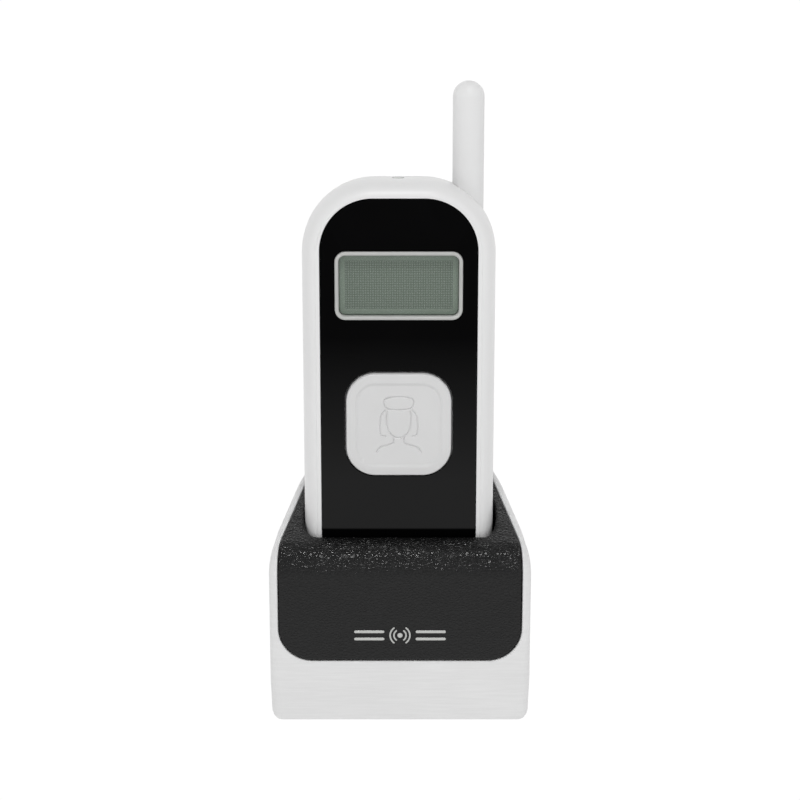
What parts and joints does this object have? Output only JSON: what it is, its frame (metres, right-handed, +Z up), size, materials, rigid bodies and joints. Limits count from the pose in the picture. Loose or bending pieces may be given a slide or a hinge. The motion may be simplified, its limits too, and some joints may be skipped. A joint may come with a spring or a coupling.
{
  "type": "pager",
  "caption": "Handheld call pager with a display, a large call button and a stub antenna, standing in a wedge-shaped charging cradle.",
  "frame": {"origin": "on the surface that the feet rest on, at the middle of the object's box, under the cradle", "axes": "+Z up along the standing handset, +X to the right as seen from the front, the display and button face -Y"},
  "size_m": [0.0752, 0.052, 0.1829],
  "materials": {
    "white_shell": "fine satin",
    "button_grey": "fine satin",
    "insert_black": "leather grain, low sheen",
    "panel_black": "polished",
    "silver_trim": "silver paint",
    "clear_window": "clear",
    "lcd_grey": "display glass",
    "foot_rubber": "soft matte",
    "circuit_board": "solder mask",
    "dark_plastic": "fine texture",
    "pale_plastic": "smooth",
    "battery_wrap": "shrink sleeve",
    "light_lens": "frosted",
    "steel": "plated",
    "brass": "plated"
  },
  "bodies": {
    "cradle": {"cradle_shell": "white_shell", "cradle_insert": "insert_black", "cradle_badge": "silver_trim", "base_plate": "dark_plastic", "foot_1": "foot_rubber", "foot_2": "foot_rubber", "foot_3": "foot_rubber", "foot_4": "foot_rubber", "base_screw_1": "steel", "base_screw_2": "steel", "base_screw_3": "steel", "base_screw_4": "steel", "cradle_pcb": "circuit_board", "contact_block": "dark_plastic", "contact_spring_left": "steel", "contact_spring_right": "steel", "power_jack": "dark_plastic", "power_jack_pin": "steel"},
    "contact_pin_left": {"contact_pin_left": "brass"},
    "contact_pin_right": {"contact_pin_right": "brass"},
    "handset": {"front_shell": "white_shell", "rear_shell": "white_shell", "front_panel": "panel_black", "display_bezel": "silver_trim", "display_window": "clear_window", "lcd_module": "lcd_grey", "lcd_backlight": "pale_plastic", "main_pcb": "circuit_board", "rf_shield": "steel", "switch_body": "dark_plastic", "battery_pack": "battery_wrap", "battery_cover": "white_shell", "battery_cover_screw": "steel", "sounder": "dark_plastic", "vibration_motor": "steel", "antenna_sleeve": "white_shell", "antenna_coil": "steel", "antenna_ferrule": "brass", "antenna_clip": "brass", "charge_pad_left": "brass", "charge_pad_right": "brass", "status_light": "light_lens", "case_screw_1": "steel", "case_screw_2": "steel", "case_screw_3": "steel", "case_screw_4": "steel"},
    "call_button": {"call_button": "button_grey", "switch_stem": "pale_plastic"}
  },
  "joints": [
    {"name": "handset_lift", "type": "slide", "parent": "cradle", "child": "handset", "axis": [0, 0, 1], "range_m": [0, 0.06]},
    {"name": "call_button_press", "type": "slide", "parent": "handset", "child": "call_button", "axis": [0, 1, 0], "range_m": [0, 0.001], "stiffness_N_per_m": 2000, "springref_m": -0.0002},
    {"name": "contact_left_travel", "type": "slide", "parent": "cradle", "child": "contact_pin_left", "axis": [0, 0, -1], "range_m": [0, 0.001], "stiffness_N_per_m": 300, "springref_m": -0.0005, "deforming": ["contact_spring_left"]},
    {"name": "contact_right_travel", "type": "slide", "parent": "cradle", "child": "contact_pin_right", "axis": [0, 0, -1], "range_m": [0, 0.001], "stiffness_N_per_m": 300, "springref_m": -0.0005, "deforming": ["contact_spring_right"]}
  ]
}
